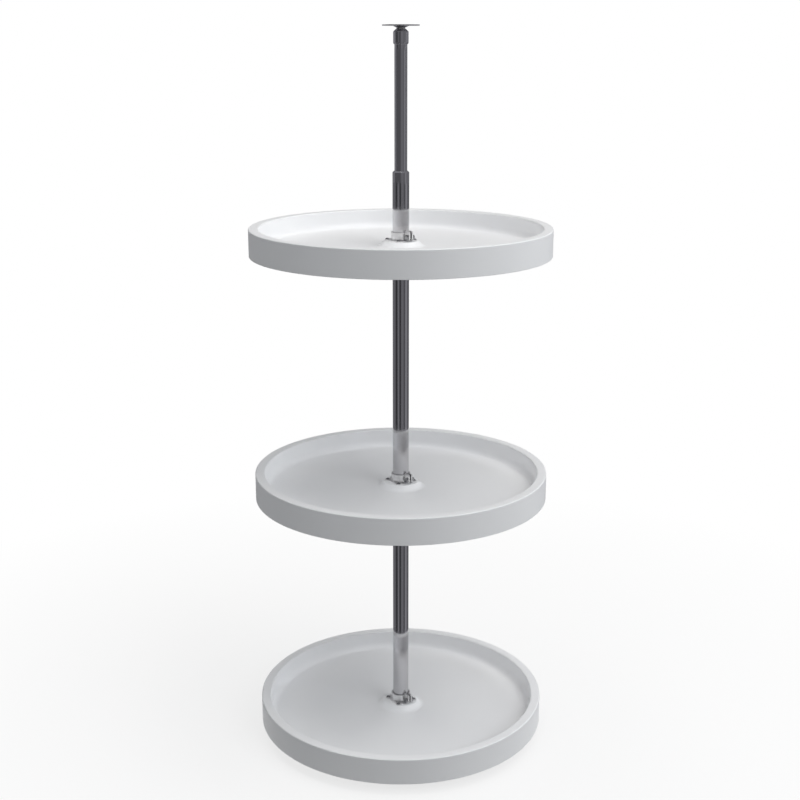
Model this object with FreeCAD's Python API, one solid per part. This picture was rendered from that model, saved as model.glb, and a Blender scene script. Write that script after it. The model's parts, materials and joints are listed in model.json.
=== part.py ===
# Rotating pantry unit: three round moulded trays clamped to a telescopic tubular post.
#
# The post turns on a ball thrust bearing that stands on a plate screwed to the cabinet floor.
# A second plate, screwed under the cabinet top, holds a pivot pin in the head of the upper tube.
# Each tray is carried by a steel hub: a lobed flange screwed to the tray's raised centre, and a
# split collar that a bolt and nut close on the post.
#
# Millimetres. +Z is up along the post. The origin is the centre of the floor plate's underside.

import FreeCAD, Part

import math
import os

from FreeCAD import Vector

# ---- Driving dimensions ---------------------------------------------------------------------

# Clearances between pieces
RUNNING_CLEARANCE = 0.08      # radial, turning or sliding fits
SEAT_CLEARANCE = 0.05         # radial, pieces pushed together that do not move
BALL_CLEARANCE = 0.10         # between a ball and its groove or cage pocket
BOLT_CLEARANCE = 0.25         # radial, screws and bolts in plain holes

# Edges
FINE_BREAK = 0.4              # broken edge of tubes, races and bores
BREAK = 0.8                   # broken edge of other turned and moulded pieces
LEAD_IN = 1.2                 # taper on what enters a bore
OVERRUN = 1.0                 # a drill starts and ends this far outside its piece

# Tubes
UPPER_TUBE_RADIUS = 12.7
UPPER_TUBE_WALL = 1.5
UPPER_TUBE_LENGTH = 520.0
UPPER_TUBE_INSERTION = 258.0  # how much of the upper tube is inside the lower one at rest
GUIDE_BUSH_WALL = 2.37        # plastic sleeve between the two tubes
LOWER_TUBE_WALL = 1.5
POST_ABOVE_TOP_HUB = 120.5    # how far the lower tube stands out above the highest hub
SWAGE_HEIGHT = 2.6            # the lower tube's end is drawn in over this height
SWAGE_RADIUS = 0.8
MOUTH_CLEARANCE = 0.45        # radial, between the drawn-in mouth and the upper tube

# Tray
TRAY_RADIUS = 305.0
TRAY_HEIGHT = 55.0
TRAY_RIM_WIDTH = 20.0
TRAY_WALL = 3.0
TRAY_FLOOR_THICKNESS = 3.5
TRAY_FLOOR_DEPTH = 38.0       # rim top down to the floor
TRAY_COVE_RADIUS = 13.0
TRAY_EDGE_RADIUS = 2.5
TRAY_FOOT_BREAK = 0.6         # broken edges at the outer wall's foot
TRAY_BORE_ROUND = 0.6
MOUND_RISE = 10.5             # height of the raised centre above the floor
MOUND_MARGIN = 2.2            # flat ring on the raised centre, outside the hub's lobes
MOUND_FOOT_FILLET = 12.0
MOUND_TOP_FILLET = 4.5
TRAY_BORE_CLEARANCE = 0.5     # radial, around the post
BOSS_WALL = 4.0               # the boss round the post, under the mound
RIB_COUNT = 12
RIB_THICKNESS = 2.6
RIB_LIFT = 2.5                # the ribs stop this far above the tray's lower edge
SCREW_BOSS_RADIUS = 4.6
SCREW_BOSS_LENGTH = 13.0

# Shelf places
SHELF_NAMES = ("bottom", "middle", "top")
FIRST_TRAY_LIFT = 24.0        # lower edge of the lowest tray above the cabinet floor
SHELF_PITCH = 509.0

# Hub
HUB_SHEET = 2.0
HUB_COLLAR_WALL = 3.2
HUB_COLLAR_HEIGHT = 17.7
HUB_ROOT_FILLET = 1.9
HUB_LOBES = 4
HUB_SCREW_INSET = 7.9         # from the collar's surface out to the screws
HUB_LOBE_RADIUS = 5.4
HUB_WAIST = 1.6               # least width of the flange outside the collar, between two lobes
HUB_FIRST_LOBE = 80.0         # degrees about +Z from +X
CLAMP_DIRECTION = -53.0       # degrees; the side where the collar is split
CLAMP_GAP = 4.0
CLAMP_EAR_SHEET = 2.8
CLAMP_EAR_FOOT = 3.6          # height of the ears' lower edge above the flange's underside
CLAMP_EAR_RISE = 4.0          # how far the ears stand above the collar
CLAMP_EAR_CORNER = 4.5
CLAMP_EAR_HEEL = 1.0          # rounded top corner of the ears, next to the collar
CLAMP_EAR_MARGIN = 0.6        # ear left outside the washer
CLAMP_HEX_GAP = 0.4           # between the flange and the lowest corner of the bolt's hexagon
CLAMP_WRENCH_ROOM = 2.4       # between the collar and the flats of the hexagon
RELIEF_HEIGHT = 1.0           # slit under the band that lets it close
RELIEF_HALF_ANGLE = 70.0

# Fasteners
HUB_SCREW_RADIUS = 1.9
HUB_SCREW_LENGTH = 12.0
HUB_SCREW_HEAD_RADIUS = 3.8
HUB_SCREW_HEAD_HEIGHT = 2.3
HUB_SCREW_DOME = 0.85         # share of the head's height that its edge is rounded by
HUB_SCREW_TIP_RADIUS = 0.8
HUB_SCREW_TIP_LENGTH = 2.8
CLAMP_BOLT_RADIUS = 3.0
CLAMP_HEX_FLATS = CLAMP_BOLT_RADIUS * 10 / 3
CLAMP_HEAD_HEIGHT = CLAMP_BOLT_RADIUS * 4 / 3
CLAMP_NUT_HEIGHT = CLAMP_BOLT_RADIUS * 5 / 3
CLAMP_WASHER_RADIUS = CLAMP_BOLT_RADIUS * 2
CLAMP_WASHER_THICKNESS = 1.2
CLAMP_THREAD_SHOWING = 2.0    # bolt end beyond the nut

# Floor plate and thrust bearing
FLOOR_PLATE_RADIUS = 50.0
FLOOR_PLATE_SHEET = 3.0
FLOOR_PLATE_RISE = 3.0        # the pressed-up centre makes room for the pin's rivet head
FLOOR_PLATE_SHELF = 3.5       # flat ring on the pressed-up centre, outside the bearing
FLOOR_PLATE_BEND = 1.5
FLOOR_SCREW_CIRCLE = 38.0     # radius
FLOOR_SCREW_HOLE = 2.6
FLOOR_SCREW_COUNT = 4
PLATE_FIRST_SCREW = 45.0      # degrees, on both plates
PIVOT_PIN_RADIUS = 6.0
PIVOT_PIN_ENGAGEMENT = 20.0   # length of pin above the plug's lower face
RACE_THICKNESS = 2.6
RACE_INSET = 2.0              # from the tube's surface in to the races' edge
RACE_BORE_CLEARANCE = 0.4
BALL_RADIUS = 2.0
BALL_COUNT = 12
BALL_EXPOSURE = BALL_RADIUS * 0.6   # ball centre above the face of each race
CAGE_THICKNESS = 1.6
CAGE_INSET = 0.8              # from the races' edge in to the cage's edge
CAGE_BORE_CLEARANCE = 1.6
PLUG_FLANGE = 4.4
PLUG_LENGTH = 28.0
PLUG_BORE_SPARE = 1.0         # the plug's bore goes on this far past the pin

# Telescope
GUIDE_BUSH_LENGTH = 38.0
GUIDE_BUSH_GAP = 0.2          # between the bush and the drawn-in mouth
GLIDE_FLANGE = 12.0
GLIDE_SPIGOT = 15.0
GLIDE_BORE_RADIUS = 7.0
LOCK_DROP = 24.0              # lock screw below the top of the lower tube
LOCK_SCREW_RADIUS = 3.0
LOCK_NUT_BODY_RADIUS = 4.5
LOCK_NUT_FLANGE_RADIUS = 6.0
LOCK_NUT_FLANGE = 1.1
LOCK_NUT_STANDOFF = 1.2       # between the nut and the upper tube
LOCK_SCREW_PROUD = 1.4
LOCK_SOCKET_FLATS = 3.0
LOCK_TIP_GAP = 0.3

# Head of the post and ceiling plate
CAP_WALL = 2.3
CAP_SKIRT = 19.5              # how far the cap comes down over the upper tube
CAP_LIP = 3.4                 # height of the tapered lower lip
CAP_WEB = 6.9
CAP_LIP_EDGE = 1.2            # width of the lip's lower edge
CAP_TAPER = 5.4
CAP_LIP_ROUND = 1.4
CAP_SHOULDER_ROUND = 1.6
NECK_INSET = 3.4              # from the upper tube's surface in to the neck
TOP_BUSH_FLANGE = 2.5
TOP_BUSH_LENGTH = 26.0
TOP_PIN_RADIUS = 4.0
TOP_PIN_ENGAGEMENT = 24.0
TOP_PIN_SHOULDER = 1.2
THRUST_WASHER = 1.0
THRUST_INSET = 0.6            # from the neck's surface in to the washer and the pin's shoulder
CEILING_PLATE_RADIUS = 36.5
CEILING_PLATE_SHEET = 2.0
CEILING_CUP_DEPTH = 5.4       # ceiling plate's top face down to the cup's underside
CEILING_CUP_SPREAD = 7.2      # how much wider the cup is at its mouth than at the neck
CEILING_CUP_BEND = 2.0        # outer radius at the cup's mouth
CEILING_SCREW_CIRCLE = 26.0   # radius
CEILING_SCREW_HOLE = 2.5
CEILING_SCREW_COUNT = 4
RIVET_HEAD_HEIGHT = 1.6
RIVET_HEAD_SPREAD = 2.5       # how far a rivet head spreads beyond its pin

# ---- Heights that follow from the stack -----------------------------------------------------

BEARING_FOOT_Z = FLOOR_PLATE_RISE + FLOOR_PLATE_SHEET
BALL_Z = BEARING_FOOT_Z + RACE_THICKNESS + BALL_EXPOSURE
UPPER_RACE_Z = BALL_Z + BALL_EXPOSURE
PLUG_Z = UPPER_RACE_Z + RACE_THICKNESS
LOWER_TUBE_Z = PLUG_Z + PLUG_FLANGE
TOP_SHELF_LIFT = FIRST_TRAY_LIFT + (len(SHELF_NAMES) - 1) * SHELF_PITCH
HUB_LIFT = TRAY_HEIGHT - TRAY_FLOOR_DEPTH + MOUND_RISE   # hub's underside above its tray's edge
LOWER_TUBE_TOP_Z = TOP_SHELF_LIFT + HUB_LIFT + HUB_COLLAR_HEIGHT + POST_ABOVE_TOP_HUB
UPPER_TUBE_Z = LOWER_TUBE_TOP_Z - UPPER_TUBE_INSERTION
UPPER_TUBE_TOP_Z = UPPER_TUBE_Z + UPPER_TUBE_LENGTH
CAP_TOP_Z = UPPER_TUBE_TOP_Z + TOP_BUSH_FLANGE + CAP_WEB
PIN_SHOULDER_Z = CAP_TOP_Z + THRUST_WASHER
CEILING_CUP_Z = PIN_SHOULDER_Z + TOP_PIN_SHOULDER
CEILING_Z = CEILING_CUP_Z + CEILING_CUP_DEPTH
LOCK_Z = LOWER_TUBE_TOP_Z - LOCK_DROP

# ---- Radii that follow ----------------------------------------------------------------------

UPPER_TUBE_BORE = UPPER_TUBE_RADIUS - UPPER_TUBE_WALL
GUIDE_BUSH_BORE = UPPER_TUBE_RADIUS + RUNNING_CLEARANCE
LOWER_TUBE_BORE = GUIDE_BUSH_BORE + GUIDE_BUSH_WALL + SEAT_CLEARANCE
LOWER_TUBE_RADIUS = LOWER_TUBE_BORE + LOWER_TUBE_WALL
MOUTH_RADIUS = UPPER_TUBE_RADIUS + MOUTH_CLEARANCE
CAP_RADIUS = UPPER_TUBE_RADIUS + SEAT_CLEARANCE + CAP_WALL
NECK_RADIUS = UPPER_TUBE_RADIUS - NECK_INSET
CEILING_CUP_MOUTH = NECK_RADIUS + CEILING_CUP_SPREAD
THRUST_RADIUS = NECK_RADIUS - THRUST_INSET
RACE_OUTER_RADIUS = LOWER_TUBE_RADIUS - RACE_INSET
RACE_BORE = PIVOT_PIN_RADIUS + RACE_BORE_CLEARANCE
BALL_CIRCLE = (RACE_BORE + RACE_OUTER_RADIUS) / 2
FLOOR_PLATE_RISE_RADIUS = RACE_OUTER_RADIUS + FLOOR_PLATE_SHELF
HUB_BORE_RADIUS = LOWER_TUBE_RADIUS + RUNNING_CLEARANCE
HUB_COLLAR_RADIUS = HUB_BORE_RADIUS + HUB_COLLAR_WALL
HUB_SCREW_CIRCLE = HUB_COLLAR_RADIUS + HUB_SCREW_INSET
HUB_WAIST_RADIUS = HUB_COLLAR_RADIUS + HUB_WAIST
CLAMP_BOLT_Z = HUB_SHEET + CLAMP_HEX_GAP + CLAMP_HEX_FLATS / math.sqrt(3)
CLAMP_BOLT_REACH = HUB_COLLAR_RADIUS + CLAMP_WRENCH_ROOM + CLAMP_HEX_FLATS / 2
CLAMP_EAR_REACH = CLAMP_BOLT_REACH + CLAMP_WASHER_RADIUS + CLAMP_EAR_MARGIN
EAR_FACE = CLAMP_GAP / 2 + CLAMP_EAR_SHEET   # ears' outer faces, from the clamp's middle plane
TRAY_BORE_RADIUS = LOWER_TUBE_RADIUS + TRAY_BORE_CLEARANCE
MOUND_TOP_RADIUS = HUB_SCREW_CIRCLE + HUB_LOBE_RADIUS + MOUND_MARGIN
MOUND_FOOT_RADIUS = MOUND_TOP_RADIUS + MOUND_RISE

UP = Vector(0, 0, 1)
ORIGIN = Vector(0, 0, 0)

# ---- Helpers --------------------------------------------------------------------------------


def rounded_wire(corners, place):
    """A closed wire through (a, b, size) corners.

    A size above 0 rounds its corner to that radius, one below 0 bevels it by that much, and 0 leaves
    it sharp. place turns a pair (a, b) into a point in space.
    """
    spans = []
    for i, (a, b, radius) in enumerate(corners):
        before, after = corners[i - 1], corners[(i + 1) % len(corners)]
        back = Vector(before[0] - a, before[1] - b, 0).normalize()
        ahead = Vector(after[0] - a, after[1] - b, 0).normalize()
        corner = Vector(a, b, 0)
        if radius <= 0:
            spans.append((corner - back * radius, None, corner - ahead * radius))
            continue
        half = math.acos(max(-1.0, min(1.0, back.dot(ahead)))) / 2
        start = corner + back * (radius / math.tan(half))
        end = corner + ahead * (radius / math.tan(half))
        inward = (back + ahead).normalize()
        middle = corner + inward * (radius / math.sin(half) - radius)
        spans.append((start, middle, end))
    edges = []
    for i, (start, middle, end) in enumerate(spans):
        if middle is not None:
            edges.append(Part.Arc(place(start), place(middle), place(end)).toShape())
        elif start.distanceToPoint(end) > 1e-6:
            edges.append(Part.LineSegment(place(start), place(end)).toShape())
        following = spans[(i + 1) % len(spans)][0]
        if end.distanceToPoint(following) > 1e-6:
            edges.append(Part.LineSegment(place(end), place(following)).toShape())
    return Part.Wire(edges)


def turned(corners):
    """A solid of revolution about Z from (radius, height, size) corners; sizes as in rounded_wire."""
    face = Part.Face(rounded_wire(corners, lambda p: Vector(p.x, 0, p.y)))
    return face.revolve(ORIGIN, UP, 360)


def plate(wire, z, thickness):
    """A flat plate of this outline, standing on height z."""
    solid = Part.Face(wire).extrude(Vector(0, 0, thickness))
    solid.translate(Vector(0, 0, z))
    return solid


def polar(radius, degrees, z=0.0):
    """A point at this radius and bearing about the post."""
    angle = math.radians(degrees)
    return Vector(radius * math.cos(angle), radius * math.sin(angle), z)


def bearings(count, first=0.0):
    """Evenly spaced bearings in degrees, from the first."""
    return [first + 360.0 * i / count for i in range(count)]


def holes(count, circle, radius, z, depth, first=0.0):
    """Vertical drills on a circle, from height z upwards."""
    return [Part.makeCylinder(radius, depth, polar(circle, b, z), UP) for b in bearings(count, first)]


def turned_to(shape, degrees):
    """A copy of the shape, turned about the post."""
    copy = shape.copy()
    copy.rotate(ORIGIN, UP, degrees)
    return copy


def raised(shape, height):
    """A copy of the shape, moved up."""
    copy = shape.copy()
    copy.translate(Vector(0, 0, height))
    return copy


def hexagon(flats, centre, axis, height):
    """A hexagonal prism with this distance across its flats."""
    corner_radius = flats / math.sqrt(3)
    points = [polar(corner_radius, b) for b in bearings(6, 30.0)]
    solid = Part.Face(Part.makePolygon(points + points[:1])).extrude(Vector(0, 0, height))
    solid.Placement = FreeCAD.Placement(centre, FreeCAD.Rotation(UP, axis))
    return solid


# ---- Floor plate and thrust bearing ---------------------------------------------------------


def floor_plate():
    """Pressed disc whose raised centre carries the pivot pin and the bearing."""
    outer, sheet, rise = FLOOR_PLATE_RADIUS, FLOOR_PLATE_SHEET, FLOOR_PLATE_RISE
    top = FLOOR_PLATE_RISE_RADIUS
    disc = turned([
        (PIVOT_PIN_RADIUS + SEAT_CLEARANCE, rise, 0),
        (top - sheet / 2, rise, FLOOR_PLATE_BEND),
        (top + rise - sheet / 2, 0, FLOOR_PLATE_BEND),
        (outer, 0, 0),
        (outer, sheet, BREAK),
        (top + rise, sheet, FLOOR_PLATE_BEND),
        (top, rise + sheet, FLOOR_PLATE_BEND),
        (PIVOT_PIN_RADIUS + SEAT_CLEARANCE, rise + sheet, 0),
    ])
    drills = holes(
        FLOOR_SCREW_COUNT,
        FLOOR_SCREW_CIRCLE,
        FLOOR_SCREW_HOLE,
        -OVERRUN,
        sheet + 2 * OVERRUN,
        PLATE_FIRST_SCREW,
    )
    return disc.cut(drills)


def pivot_pin():
    """Pin riveted in the floor plate; the post's plug turns on it."""
    radius, foot = PIVOT_PIN_RADIUS, FLOOR_PLATE_RISE
    return turned([
        (0, foot - RIVET_HEAD_HEIGHT, 0),
        (radius + RIVET_HEAD_SPREAD, foot - RIVET_HEAD_HEIGHT, -BREAK),
        (radius + RIVET_HEAD_SPREAD, foot, 0),
        (radius, foot, 0),
        (radius, PLUG_Z + PIVOT_PIN_ENGAGEMENT, -LEAD_IN),
        (0, PLUG_Z + PIVOT_PIN_ENGAGEMENT, 0),
    ])


def race(z):
    """One washer of the thrust bearing, before its groove is cut."""
    return turned([
        (RACE_BORE, z, 0),
        (RACE_OUTER_RADIUS, z, -FINE_BREAK),
        (RACE_OUTER_RADIUS, z + RACE_THICKNESS, -FINE_BREAK),
        (RACE_BORE, z + RACE_THICKNESS, 0),
    ])


def ball_groove():
    """The ring that the balls' grooves are cut with."""
    return Part.makeTorus(BALL_CIRCLE, BALL_RADIUS + BALL_CLEARANCE, Vector(0, 0, BALL_Z), UP)


def bearing_lower_race():
    """Grooved washer that lies on the floor plate."""
    return race(BEARING_FOOT_Z).cut(ball_groove())


def bearing_upper_race():
    """Grooved washer under the post's plug."""
    return race(UPPER_RACE_Z).cut(ball_groove())


def bearing_balls():
    """The balls, as a group of separate solids."""
    places = [polar(BALL_CIRCLE, b, BALL_Z) for b in bearings(BALL_COUNT)]
    return Part.makeCompound([Part.makeSphere(BALL_RADIUS, p) for p in places])


def bearing_cage():
    """Flat ring with a pocket for each ball."""
    z = BALL_Z - CAGE_THICKNESS / 2
    foot = Vector(0, 0, z)
    ring = Part.makeCylinder(RACE_OUTER_RADIUS - CAGE_INSET, CAGE_THICKNESS, foot)
    bore = Part.makeCylinder(PIVOT_PIN_RADIUS + CAGE_BORE_CLEARANCE, CAGE_THICKNESS, foot)
    pockets = holes(BALL_COUNT, BALL_CIRCLE, BALL_RADIUS + BALL_CLEARANCE, z, CAGE_THICKNESS)
    return ring.cut([bore] + pockets)


# ---- Post -----------------------------------------------------------------------------------


def bottom_plug():
    """Flanged plug pushed into the foot of the lower tube, bored for the pivot pin."""
    bore = PIVOT_PIN_RADIUS + RUNNING_CLEARANCE
    spigot = LOWER_TUBE_BORE - SEAT_CLEARANCE
    bore_top = PLUG_Z + PIVOT_PIN_ENGAGEMENT + PLUG_BORE_SPARE
    top = PLUG_Z + PLUG_LENGTH
    return turned([
        (bore, PLUG_Z, -FINE_BREAK),
        (LOWER_TUBE_RADIUS, PLUG_Z, -BREAK),
        (LOWER_TUBE_RADIUS, LOWER_TUBE_Z, -FINE_BREAK),
        (spigot, LOWER_TUBE_Z, 0),
        (spigot, top, -LEAD_IN),
        (0, top, 0),
        (0, bore_top, 0),
        (bore, bore_top, 0),
    ])


def lock_hole(radius):
    """Radial drill at the back of the post, for the lock."""
    return Part.makeCylinder(radius, 2 * LOWER_TUBE_RADIUS, Vector(0, 0, LOCK_Z), Vector(0, 1, 0))


def lower_tube():
    """Main tube; its upper end is drawn in round the upper tube."""
    radius, bore, top = LOWER_TUBE_RADIUS, LOWER_TUBE_BORE, LOWER_TUBE_TOP_Z
    tube = turned([
        (bore, LOWER_TUBE_Z, 0),
        (radius, LOWER_TUBE_Z, FINE_BREAK),
        (radius, top - SWAGE_HEIGHT, SWAGE_RADIUS),
        (MOUTH_RADIUS + LOWER_TUBE_WALL / 2, top, FINE_BREAK),
        (MOUTH_RADIUS, top, 0),
        (MOUTH_RADIUS, top - LOWER_TUBE_WALL, FINE_BREAK),
        (bore, top - SWAGE_HEIGHT - LOWER_TUBE_WALL, SWAGE_RADIUS),
    ])
    return tube.cut(lock_hole(LOCK_NUT_BODY_RADIUS + SEAT_CLEARANCE))


def guide_bush():
    """Sleeve under the drawn-in mouth that the upper tube slides in."""
    inner = GUIDE_BUSH_BORE
    outer = inner + GUIDE_BUSH_WALL
    top = LOWER_TUBE_TOP_Z - SWAGE_HEIGHT - LOWER_TUBE_WALL - GUIDE_BUSH_GAP
    foot = top - GUIDE_BUSH_LENGTH
    sleeve = turned([
        (inner, foot, -FINE_BREAK),
        (outer, foot, -BREAK),
        (outer, top, -BREAK),
        (inner, top, -FINE_BREAK),
    ])
    return sleeve.cut(lock_hole(LOCK_NUT_BODY_RADIUS + BOLT_CLEARANCE))


def lock_nut():
    """Flanged rivet nut in the back of the lower tube; its flange follows the tube's curve."""
    outward = Vector(0, 1, 0)
    foot = UPPER_TUBE_RADIUS + LOCK_NUT_STANDOFF
    face = LOWER_TUBE_RADIUS + LOCK_NUT_FLANGE
    body = Part.makeCylinder(LOCK_NUT_BODY_RADIUS, face - foot, Vector(0, foot, LOCK_Z), outward)
    flange_start = Vector(0, LOWER_TUBE_RADIUS - LOCK_NUT_FLANGE_RADIUS / 2, LOCK_Z)
    flange = Part.makeCylinder(LOCK_NUT_FLANGE_RADIUS, face - flange_start.y, flange_start, outward)
    saddle_foot = Vector(0, 0, LOCK_Z - 2 * LOCK_NUT_FLANGE_RADIUS)
    saddle = Part.makeCylinder(
        LOWER_TUBE_RADIUS + SEAT_CLEARANCE, 4 * LOCK_NUT_FLANGE_RADIUS, saddle_foot
    )
    thread = lock_hole(LOCK_SCREW_RADIUS + SEAT_CLEARANCE)
    return flange.cut(saddle).fuse(body).removeSplitter().cut(thread)


def lock_screw():
    """Socket screw that holds the upper tube at the height it is set to."""
    outward = Vector(0, 1, 0)
    tip = UPPER_TUBE_RADIUS + LOCK_TIP_GAP
    end = LOWER_TUBE_RADIUS + LOCK_NUT_FLANGE + LOCK_SCREW_PROUD
    shank = Part.makeCylinder(LOCK_SCREW_RADIUS, end - tip, Vector(0, tip, LOCK_Z), outward)
    depth = LOCK_SOCKET_FLATS
    socket = hexagon(LOCK_SOCKET_FLATS, Vector(0, end - depth, LOCK_Z), outward, depth + OVERRUN)
    return shank.cut(socket)


def upper_tube():
    """Thinner tube that slides out of the lower one."""
    return turned([
        (UPPER_TUBE_BORE, UPPER_TUBE_Z, 0),
        (UPPER_TUBE_RADIUS, UPPER_TUBE_Z, FINE_BREAK),
        (UPPER_TUBE_RADIUS, UPPER_TUBE_TOP_Z, FINE_BREAK),
        (UPPER_TUBE_BORE, UPPER_TUBE_TOP_Z, 0),
    ])


def glide_ring():
    """Foot of the upper tube; it keeps the tube central and stops it pulling out of the bush."""
    outer = LOWER_TUBE_BORE - RUNNING_CLEARANCE
    spigot = UPPER_TUBE_BORE - SEAT_CLEARANCE
    foot = UPPER_TUBE_Z - GLIDE_FLANGE
    return turned([
        (GLIDE_BORE_RADIUS, foot, -FINE_BREAK),
        (outer, foot, -LEAD_IN),
        (outer, UPPER_TUBE_Z, -LEAD_IN),
        (spigot, UPPER_TUBE_Z, 0),
        (spigot, UPPER_TUBE_Z + GLIDE_SPIGOT, -BREAK),
        (GLIDE_BORE_RADIUS, UPPER_TUBE_Z + GLIDE_SPIGOT, 0),
    ])


def top_bushing():
    """Flanged bush in the head of the upper tube that turns on the top pin."""
    bore = TOP_PIN_RADIUS + RUNNING_CLEARANCE
    spigot = UPPER_TUBE_BORE - SEAT_CLEARANCE
    flange_top = UPPER_TUBE_TOP_Z + TOP_BUSH_FLANGE
    foot = flange_top - TOP_BUSH_LENGTH
    return turned([
        (bore, foot, -FINE_BREAK),
        (spigot, foot, -LEAD_IN),
        (spigot, UPPER_TUBE_TOP_Z, 0),
        (UPPER_TUBE_RADIUS, UPPER_TUBE_TOP_Z, 0),
        (UPPER_TUBE_RADIUS, flange_top, -FINE_BREAK),
        (bore, flange_top, -FINE_BREAK),
    ])


def top_cap():
    """Cap over the head of the upper tube, tapered to a neck below the ceiling plate."""
    socket = UPPER_TUBE_RADIUS + SEAT_CLEARANCE
    bore = TOP_PIN_RADIUS + BOLT_CLEARANCE
    foot = UPPER_TUBE_TOP_Z - CAP_SKIRT
    web_z = UPPER_TUBE_TOP_Z + TOP_BUSH_FLANGE
    return turned([
        (socket, foot, 0),
        (socket + CAP_LIP_EDGE, foot, FINE_BREAK),
        (CAP_RADIUS, foot + CAP_LIP, CAP_LIP_ROUND),
        (CAP_RADIUS, CAP_TOP_Z - CAP_TAPER, CAP_SHOULDER_ROUND),
        (NECK_RADIUS, CAP_TOP_Z, FINE_BREAK),
        (bore, CAP_TOP_Z, 0),
        (bore, web_z, 0),
        (socket, web_z, 0),
    ])


# ---- Ceiling plate --------------------------------------------------------------------------


def thrust_washer():
    """Plain washer between the cap and the top pin's shoulder."""
    return turned([
        (TOP_PIN_RADIUS + BOLT_CLEARANCE, CAP_TOP_Z, 0),
        (THRUST_RADIUS, CAP_TOP_Z, 0),
        (THRUST_RADIUS, PIN_SHOULDER_Z, 0),
        (TOP_PIN_RADIUS + BOLT_CLEARANCE, PIN_SHOULDER_Z, 0),
    ])


def ceiling_plate():
    """Pressed disc with a drawn cup that the top pin is riveted in."""
    sheet, cup_z = CEILING_PLATE_SHEET, CEILING_CUP_Z
    bore = TOP_PIN_RADIUS + SEAT_CLEARANCE
    under = CEILING_Z - sheet
    disc = turned([
        (bore, cup_z, 0),
        (NECK_RADIUS, cup_z, BREAK),
        (CEILING_CUP_MOUTH, under, CEILING_CUP_BEND),
        (CEILING_PLATE_RADIUS, under, BREAK),
        (CEILING_PLATE_RADIUS, CEILING_Z, 0),
        (CEILING_CUP_MOUTH - sheet / 2, CEILING_Z, CEILING_CUP_BEND / 2),
        (NECK_RADIUS - sheet / 2, cup_z + sheet, FINE_BREAK),
        (bore, cup_z + sheet, 0),
    ])
    drills = holes(
        CEILING_SCREW_COUNT,
        CEILING_SCREW_CIRCLE,
        CEILING_SCREW_HOLE,
        under - OVERRUN,
        sheet + 2 * OVERRUN,
        PLATE_FIRST_SCREW,
    )
    return disc.cut(drills)


def top_pin():
    """Shouldered pivot pin riveted in the ceiling plate's cup."""
    radius = TOP_PIN_RADIUS
    tip = UPPER_TUBE_TOP_Z + TOP_BUSH_FLANGE - TOP_PIN_ENGAGEMENT
    rivet_z = CEILING_CUP_Z + CEILING_PLATE_SHEET
    return turned([
        (0, tip, 0),
        (radius, tip, -LEAD_IN),
        (radius, PIN_SHOULDER_Z, 0),
        (THRUST_RADIUS, PIN_SHOULDER_Z, -FINE_BREAK),
        (THRUST_RADIUS, CEILING_CUP_Z, 0),
        (radius, CEILING_CUP_Z, 0),
        (radius, rivet_z, 0),
        (radius + RIVET_HEAD_SPREAD, rivet_z, 0),
        (radius + RIVET_HEAD_SPREAD, rivet_z + RIVET_HEAD_HEIGHT, -BREAK),
        (0, rivet_z + RIVET_HEAD_HEIGHT, 0),
    ])


# ---- Tray -----------------------------------------------------------------------------------
# A tray is drawn with its lower edge at height 0 and raised to its place on the post.

RIM_Z = TRAY_HEIGHT
FLOOR_Z = RIM_Z - TRAY_FLOOR_DEPTH
FLOOR_UNDERSIDE_Z = FLOOR_Z - TRAY_FLOOR_THICKNESS
MOUND_Z = HUB_LIFT
MOUND_UNDERSIDE_Z = MOUND_Z - TRAY_FLOOR_THICKNESS
CONE_SHIFT = TRAY_FLOOR_THICKNESS * (math.sqrt(2) - 1)  # keeps the 45 degree cone's wall even
RIB_SINK = TRAY_FLOOR_THICKNESS / 2                     # how far a rib runs up into the floor
BOSS_RADIUS = TRAY_BORE_RADIUS + BOSS_WALL
INNER_WALL_RADIUS = TRAY_RADIUS - TRAY_RIM_WIDTH
RING_RIB_RADIUS = (MOUND_FOOT_RADIUS + INNER_WALL_RADIUS) / 2


def tray_shell():
    """Floor, raised centre, hollow rim and the boss round the post, as one revolved wall."""
    wall, edge = TRAY_WALL, TRAY_EDGE_RADIUS
    inner, outer = INNER_WALL_RADIUS, TRAY_RADIUS
    rim_under = RIM_Z - wall
    return turned([
        (TRAY_BORE_RADIUS, MOUND_Z, TRAY_BORE_ROUND),
        (TRAY_BORE_RADIUS, RIB_LIFT, 0),
        (BOSS_RADIUS, RIB_LIFT, 0),
        (BOSS_RADIUS, MOUND_UNDERSIDE_Z, 0),
        (MOUND_TOP_RADIUS - CONE_SHIFT, MOUND_UNDERSIDE_Z, 0),
        (MOUND_FOOT_RADIUS - CONE_SHIFT, FLOOR_UNDERSIDE_Z, 0),
        (inner + wall, FLOOR_UNDERSIDE_Z, TRAY_COVE_RADIUS + wall),
        (inner + wall, rim_under, 0),
        (outer - wall, rim_under, 0),
        (outer - wall, 0, -TRAY_FOOT_BREAK),
        (outer, 0, -TRAY_FOOT_BREAK),
        (outer, RIM_Z, edge),
        (inner, RIM_Z, edge),
        (inner, FLOOR_Z, TRAY_COVE_RADIUS),
        (MOUND_FOOT_RADIUS, FLOOR_Z, MOUND_FOOT_FILLET),
        (MOUND_TOP_RADIUS, MOUND_Z, MOUND_TOP_FILLET),
    ])


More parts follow.
